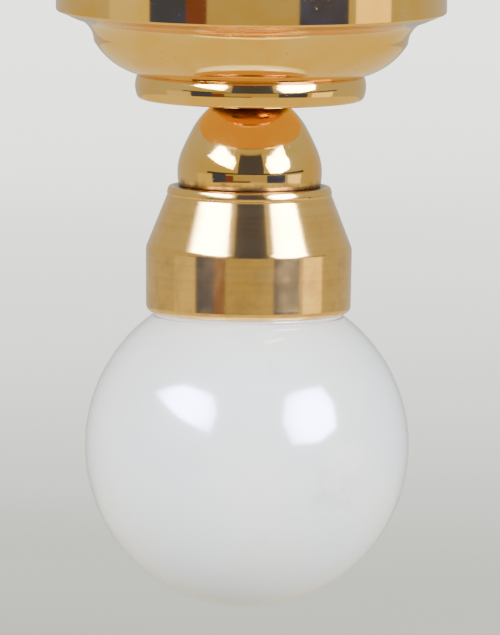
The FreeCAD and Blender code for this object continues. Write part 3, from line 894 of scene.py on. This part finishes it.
# %% Gallery cup
CUP_BORE = 4.34
CUP_FOOT = 0.36
CUP_FOOT_RADIUS = 4.74
SKIRT_HEIGHT = 2.88
BREAK_CURVE = 0.75
BREAK_STEP = 0.045
SHOULDER_FOOT = 3.14
CUP_RIM_RADIUS = 3.82
CUP_RIM = 0.4
RIM_LAND = 0.06
RIM_SWELL = 0.65
RIM_LEAN = 0.061
RIM_ROUND = 0.11
RIM_ROUND_DROP = 0.065
RIM_FLAT = 0.16
GROOVE = 0.03
GUARD_STEP = 0.03
GUARD_DROP = 0.08
CUP_CEILING = 0.8
CEILING_RADIUS = 2.95
BORE_TOP = 2.98
cup_wide = radius_of("gallery_cup")
cup_top = height_of("gallery_cup")
groove_level = cup_top - CUP_RIM
groove_foot = groove_level - GROOVE
cup = turned("cup", [
    (CUP_BORE, 0),
    (CUP_FOOT_RADIUS - CUP_FOOT, 0, CUP_FOOT),
    (CUP_FOOT_RADIUS, CUP_FOOT),
    (cup_wide, SKIRT_HEIGHT, BREAK_CURVE),
    (cup_wide - BREAK_STEP, SHOULDER_FOOT),
    (CUP_RIM_RADIUS + GUARD_STEP, groove_foot - GUARD_DROP),
    (CUP_RIM_RADIUS, groove_foot),
    (CUP_RIM_RADIUS - GROOVE, groove_level),
    (CUP_RIM_RADIUS, groove_level + RIM_LAND, RIM_SWELL),
    (CUP_RIM_RADIUS - RIM_LEAN, cup_top - RIM_ROUND_DROP, RIM_ROUND),
    (CUP_RIM_RADIUS - RIM_FLAT, cup_top),
    (STEM_HOLE, cup_top),
    (STEM_HOLE, cup_top - CUP_CEILING),
    (CEILING_RADIUS, cup_top - CUP_CEILING),
    (CUP_BORE, BORE_TOP),
], foot_of("gallery_cup"), step=math.radians(2), ease=0.02)
stands_for(cup, "gallery_cup", "canopy", cup_brass)

# %% [markdown]
# ## The bulb's socket
#
# Inside the cup a brass sleeve screws onto the stem and holds a black disc with two slit contacts. The
# disc and the contacts keep their engineering shapes and only take a finish. The sleeve is turned again,
# more finely.

# %% Socket
SHELL_BORE = 2.05
SHELL_EDGE = 0.15
SHELL_CROWN = 1.1
shell_wide = radius_of("socket_shell")
shell_top = height_of("socket_shell")
shell = turned("socket", [
    (SHELL_BORE, 0),
    (shell_wide - SHELL_EDGE, 0),
    (shell_wide, SHELL_EDGE),
    (shell_wide, shell_top - SHELL_EDGE),
    (shell_wide - SHELL_EDGE, shell_top),
    (NUT_BORE, shell_top),
    (NUT_BORE, shell_top - SHELL_CROWN),
    (SHELL_BORE, shell_top - SHELL_CROWN),
], foot_of("socket_shell"), steps=96, ease=0.03)
stands_for(shell, "socket_shell", "canopy", hardware_brass)

# %% [markdown]
# ## The bulb
#
# A two-pin bulb: a white cap, a clear tube with a round end, and two pins. The glass has a real wall, an
# inner and an outer surface, because glass only bends light properly when it has both.

# %% Bulb
BASE_EDGE = 0.15
BASE_FLOOR = 0.5
POCKET = 1.52
base_wide = radius_of("bulb_base")
base_top = height_of("bulb_base")
base = turned("bulb_cap", [
    (POCKET, 0),
    (base_wide, 0),
    (base_wide, base_top - BASE_EDGE),
    (base_wide - BASE_EDGE, base_top),
    (0, base_top),
    (0, base_top - BASE_FLOOR),
    (POCKET, base_top - BASE_FLOOR),
], foot_of("bulb_base"), steps=96, ease=0.03)
stands_for(base, "bulb_base", "bulb", white_nylon)

GLASS_WALL = 0.18
SEAL = 0.6
glass_wide = radius_of("bulb_glass")
glass_inner = glass_wide - GLASS_WALL
glass_top = height_of("bulb_glass")
seal_foot = glass_top - SEAL
tube = turned("bulb_tube", [
    (0, 0, glass_wide),
    (glass_wide, glass_wide),
    (glass_wide, glass_top - GLASS_WALL, GLASS_WALL),
    (glass_wide - GLASS_WALL, glass_top),
    (0, glass_top),
    (0, seal_foot),
    (glass_inner - GLASS_WALL, seal_foot),
    (glass_inner, seal_foot - GLASS_WALL),
    (glass_inner, glass_wide, glass_inner, HOLLOW),
    (0, GLASS_WALL),
], foot_of("bulb_glass"), steps=96)
stands_for(tube, "bulb_glass", "bulb", bulb_clear)

PIN_RADIUS = 0.21
PIN_STEPS = 32
pin_top = height_of("bulb_pin_left")
for side in ("left", "right"):
    node = "bulb_pin_" + side
    low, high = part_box(node)
    pin = turned("pin_" + side, [
        (0, 0),
        (PIN_RADIUS, 0),
        (PIN_RADIUS, pin_top - PIN_RADIUS, PIN_RADIUS),
        (0, pin_top),
    ], low.z, steps=PIN_STEPS, step=math.radians(15))
    pin.location.x = (low.x + high.x) / 2
    settle(pin)
    stands_for(pin, node, "bulb", tinned_brass)

# %% [markdown]
# ## Nodes that keep their shape
#
# The smallest pieces are right as the engineering model has them, so each only takes a finish.

# %% Finishes for the kept nodes
kept_nodes = {
    "socket_insulator": black_phenolic,
    "contact_left": tinned_brass,
    "contact_right": tinned_brass,
    "filament_support_left": nickel_wire,
    "filament_support_right": nickel_wire,
    "bulb_bead": bead_glass,
    "filament": tungsten,
}
for node, finish in kept_nodes.items():
    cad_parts[node].material_slots[0].material = finish
print("dressed", len(kept_nodes), "nodes in place")

# %% [markdown]
# ## The globe
#
# The globe is blown in a mould: a ball with a small shoulder and cove at its neck. The cove stands just
# below the cup, and catches the two bright spots there. It is one closed skin, inside and out, with its
# open neck hidden in the cup, and it has the finest steps of all because its edge is a long plain curve.

# %% Globe
GLOBE_WALL = 0.65
SHOULDER = 4.47
NECK = 4.28
COVE = 0.12
LIP = 0.15
GLOBE_STEPS = 192
ball = radius_of("globe")
neck_top = height_of("globe")
shoulder_level = ball + math.sqrt(ball ** 2 - SHOULDER ** 2)
inner_ball = ball - GLOBE_WALL
inner_neck = NECK - GLOBE_WALL
inner_level = ball + math.sqrt(inner_ball ** 2 - inner_neck ** 2)
globe = turned("globe_glass", [
    (0, 0, ball),
    (ball, ball, ball),
    (SHOULDER, shoulder_level),
    (NECK + COVE, shoulder_level, COVE, HOLLOW),
    (NECK, shoulder_level + COVE),
    (NECK, neck_top - LIP, LIP),
    (NECK - LIP, neck_top),
    (inner_neck + LIP, neck_top, LIP),
    (inner_neck, neck_top - LIP),
    (inner_neck, inner_level, inner_ball, HOLLOW),
    (inner_ball, ball, inner_ball, HOLLOW),
    (0, GLOBE_WALL),
], foot_of("globe"), steps=GLOBE_STEPS, step=math.radians(2.5))
stands_for(globe, "globe", "globe", opal)

# %% [markdown]
# ## The studio
#
# Polished brass shows its surroundings more than itself, so the studio is part of its look. A softbox
# stands either side of the camera. Each is built as two things: a lamp that only lights, and a bright card
# that is only seen in reflections, so the light and the highlight can be set apart. Bearings are counted
# from the camera, positive to the right, and rises are angles above the horizon, all in degrees.

# %% Studio helpers
REACH = 0.6
BAND_STEP = 4
LAMP_TINT = (0.95, 1.0, 1.05)


def toward(bearing, rise):
    """The direction at that bearing and rise."""
    b, r = math.radians(bearing), math.radians(rise)
    return Vector((math.sin(b) * math.cos(r), -math.cos(b) * math.cos(r), math.sin(r)))


def only_reflected(piece):
    """Hides a stage piece from everything but reflections."""
    for ray in ("camera", "diffuse", "shadow", "transmission", "volume_scatter"):
        setattr(piece, "visible_" + ray, False)


def card_finish(name, colour, brightness=1.0):
    """A surface that gives off its own light and reflects none."""
    finish = Finish(name)
    finish.set(base_color=(0, 0, 0, 1), roughness=1.0, specular=0.0, glow=colour, glow_strength=brightness)
    return finish


def card(name, corners, finish):
    """A flat card whose corners stand at those bearings and rises."""
    let_go()
    bpy.ops.mesh.primitive_circle_add(vertices=len(corners), radius=REACH, fill_type="NGON")
    piece = bpy.context.object
    piece.name = name
    for corner, (bearing, rise) in zip(piece.data.vertices, corners):
        corner.co = toward(bearing, rise) * REACH
    piece.data.materials.append(finish.material)
    only_reflected(piece)


def band(name, bearings, rises, colour, reach):
    """Part of a drum round the light, from one bearing and rise to another. It is drawn in front of the X
    axis, turned to its first bearing, and spun from there to its last, clockwise as seen from above."""
    first, last = bearings
    edge = [Vector((math.cos(math.radians(r)), math.sin(math.radians(r)))) * reach / MM for r in rises]
    piece = line_of(name, edge, 0)
    work_on(piece)
    edit_all()
    bpy.ops.transform.rotate(value=math.radians(90 - first), orient_axis="Z", center_override=(0, 0, 0))
    steps = max(2, int((last - first) / BAND_STEP))
    bpy.ops.mesh.spin(steps=steps, angle=math.radians(first - last), center=(0, 0, 0), axis=(0, 0, 1))
    bpy.ops.object.mode_set(mode="OBJECT")
    piece.data.materials.append(card_finish(name, colour).material)
    only_reflected(piece)
    seen = sorted(math.degrees(math.atan2(v.co.x, -v.co.y)) for v in piece.data.vertices)
    print(name, "runs from bearing", round(seen[0]), "to", round(seen[-1]))


def lamp(name, bearing, rise, width, height, power):
    """A soft rectangular lamp that faces the light. Its width and height are angles."""
    let_go()
    bpy.ops.object.light_add(type="AREA", location=toward(bearing, rise) * REACH)
    light = bpy.context.object
    light.name = name
    light.data.shape = "RECTANGLE"
    light.data.size = 2 * REACH * math.tan(math.radians(width / 2))
    light.data.size_y = 2 * REACH * math.tan(math.radians(height / 2))
    light.data.energy = power
    light.data.color = LAMP_TINT
    light.rotation_euler = (-toward(bearing, rise)).to_track_quat("-Z", "Y").to_euler()
    light.visible_camera = False
    light.visible_glossy = False


# %% [markdown]
# ## Softboxes
#
# A softbox is brightest at its middle and falls off towards its edge. Its card is a little blue, which
# brass needs for a white highlight, because brass itself swallows blue. The lamp stands lower than its
# card, so that it lights the globe's front more than its top.

# %% Softboxes
HIGHLIGHT = 36.0
SOFTBOX_MIDDLE = (1.0, 1.10, 1.8, 1)
SOFTBOX_EDGE = (0.30, 0.33, 0.46, 1)
FADE_START = 0.16 * REACH
FADE_END = 0.52 * REACH
LAMP_POWER = 7.4
LAMP_DROP = 12


def softbox(name, centre, width, height, corners):
    """A lamp and its card, which is brightest at the centre. width and height are the lamp's."""
    bearing, rise = centre
    lamp(name + "_lamp", bearing, rise - LAMP_DROP, width, height, LAMP_POWER)
    finish = card_finish(name, SOFTBOX_MIDDLE, HIGHLIGHT)
    fade = finish.ramp(finish.away_from(toward(*centre) * REACH), FADE_START, FADE_END)
    finish.set(glow=finish.blend(fade, SOFTBOX_MIDDLE, SOFTBOX_EDGE))
    card(name, corners, finish)


left_corners = [(-83, 28), (-52, 19), (-27, 11), (-24, 25), (-30, 37), (-61, 39)]
right_corners = [(27, 19), (33, 4), (52, 4), (68, 11), (72, 25), (70, 37), (34, 37)]
softbox("softbox_left", (-50, 29), 46, 26, left_corners)
softbox("softbox_right", (53, 20), 37, 37, right_corners)

# %% [markdown]
# ## The room
#
# The rest of the room is bands of plain colour. The near ones are what stands on the table: the camera,
# two stands, a red case and a cable. Behind them come the table's edges and a window sill, then the walls,
# and the ground below. A gap between two bands shows the band behind, so each has its own distance.

# %% The room
NEAR = REACH
TABLE = REACH * 1.1
EDGE_OF_TABLE = REACH * 1.05
WALLS = REACH * 1.2

band("camera_card", (-19, 23), (4, 41), (0.09, 0.11, 0.34, 1), NEAR)
band("stand_left", (-62, -38.5), (-15, 1), (0.065, 0.10, 0.52, 1), NEAR)
band("stand_right", (28, 59), (-15, 0), (0.06, 0.09, 0.50, 1), NEAR)
band("red_case", (-38.5, -26), (-14, -1), (0.22, 0.09, 0.14, 1), NEAR)
band("cable", (-56, 1), (-15, -11.5), (0.13, 0.12, 0.16, 1), NEAR)
band("carpet", (-27, 28), (-12, -1), (0.60, 0.56, 0.44, 1), TABLE)
band("window_sill", (64, 90), (-15, -1), (2.05, 1.82, 1.25, 1), TABLE)
band("table_top", (-92, -62), (-15, -1), (0.93, 0.88, 0.70, 1), TABLE)
band("horizon", (-72, 96), (1, 4), (0.06, 0.07, 0.20, 1), EDGE_OF_TABLE)
band("walls", (-180, 180), (-15, 18), (0.68, 0.66, 0.60, 1), WALLS)
band("ground", (-180, 180), (-89, -15), (1.02, 0.93, 0.66, 1), WALLS)

# %% [markdown]
# ## Floor, surroundings and camera
#
# The floor is far below and very wide, so from a little above the horizon it fills the picture and makes
# the plain pale ground. It is a lit sheet: it glows a little, and more with distance, as a lit studio
# floor does where it nears the back wall. The camera is a long lens well back, a little under six degrees
# above the horizon, and leans a fraction of a degree, as a hand-held one does.

# %% Floor
FLOOR_LEVEL = -1.5
FLOOR_SIZE = 600
FLOOR_NEAR = 11
FLOOR_FAR = 19.3
FLOOR_COLOUR = (0.55, 0.55, 0.53, 1)
NEAR_GLOW = (0.10, 0.09, 0.06, 1)
FAR_GLOW = (2.30, 2.40, 2.18, 1)
CLOUD_SIZE = 900.0
CLOUD_DEPTH = 1.2

let_go()
bpy.ops.mesh.primitive_plane_add(size=FLOOR_SIZE, location=(0, 0, FLOOR_LEVEL))
floor = bpy.context.object
floor.name = "floor"
settle(floor)
pale = Finish("pale_floor")
cloud = pale.noise(pale.place(), CLOUD_SIZE, 2.0) * CLOUD_DEPTH
far = pale.ramp(pale.from_axis() + cloud, FLOOR_NEAR, FLOOR_FAR)
pale.set(
    base_color=FLOOR_COLOUR,
    roughness=0.9,
    specular=0.0,
    glow=pale.blend(far, NEAR_GLOW, FAR_GLOW),
    glow_strength=1.0,
)
floor.data.materials.append(pale.material)

# %% World
WORLD_LIGHT = 0.68
HAZE = 1.1
HAZE_FOOT = 2
HAZE_TOP = 12
world = bpy.data.worlds.new("studio")
world.use_nodes = True
nodes = world.node_tree.nodes
links = world.node_tree.links
sky = nodes["Background"]
sky.inputs["Strength"].default_value = 1.0
way = nodes.new("ShaderNodeTexCoord")
split = nodes.new("ShaderNodeSeparateXYZ")
haze = nodes.new("ShaderNodeMapRange")
haze.interpolation_type = "SMOOTHSTEP"
haze.inputs["From Min"].default_value = math.sin(math.radians(HAZE_FOOT))
haze.inputs["From Max"].default_value = math.sin(math.radians(HAZE_TOP))
haze.inputs["To Min"].default_value = WORLD_LIGHT + HAZE
haze.inputs["To Max"].default_value = WORLD_LIGHT
links.new(way.outputs["Generated"], split.inputs[0])
links.new(split.outputs["Z"], haze.inputs["Value"])
links.new(haze.outputs[0], sky.inputs["Color"])
bpy.context.scene.world = world

# %% Camera
CAMERA_RISE = 5.7
CAMERA_REACH = 0.75
PICTURE_WIDTH = 23.15 * MM
AIM = Vector((0.085 * MM, 0, -15.85 * MM))
LEAN = 0.6
CLIP_END = 1000

let_go()
bpy.ops.object.camera_add(location=AIM + toward(0, CAMERA_RISE) * CAMERA_REACH)
camera = bpy.context.object
camera.data.sensor_fit = "HORIZONTAL"
camera.data.lens = camera.data.sensor_width * CAMERA_REACH / PICTURE_WIDTH
camera.data.clip_end = CLIP_END
camera.rotation_euler = (-toward(0, CAMERA_RISE)).to_track_quat("-Z", "Y").to_euler()
camera.rotation_euler.rotate_axis("Z", math.radians(LEAN))
bpy.context.scene.camera = camera
print("lens:", round(camera.data.lens), "mm")
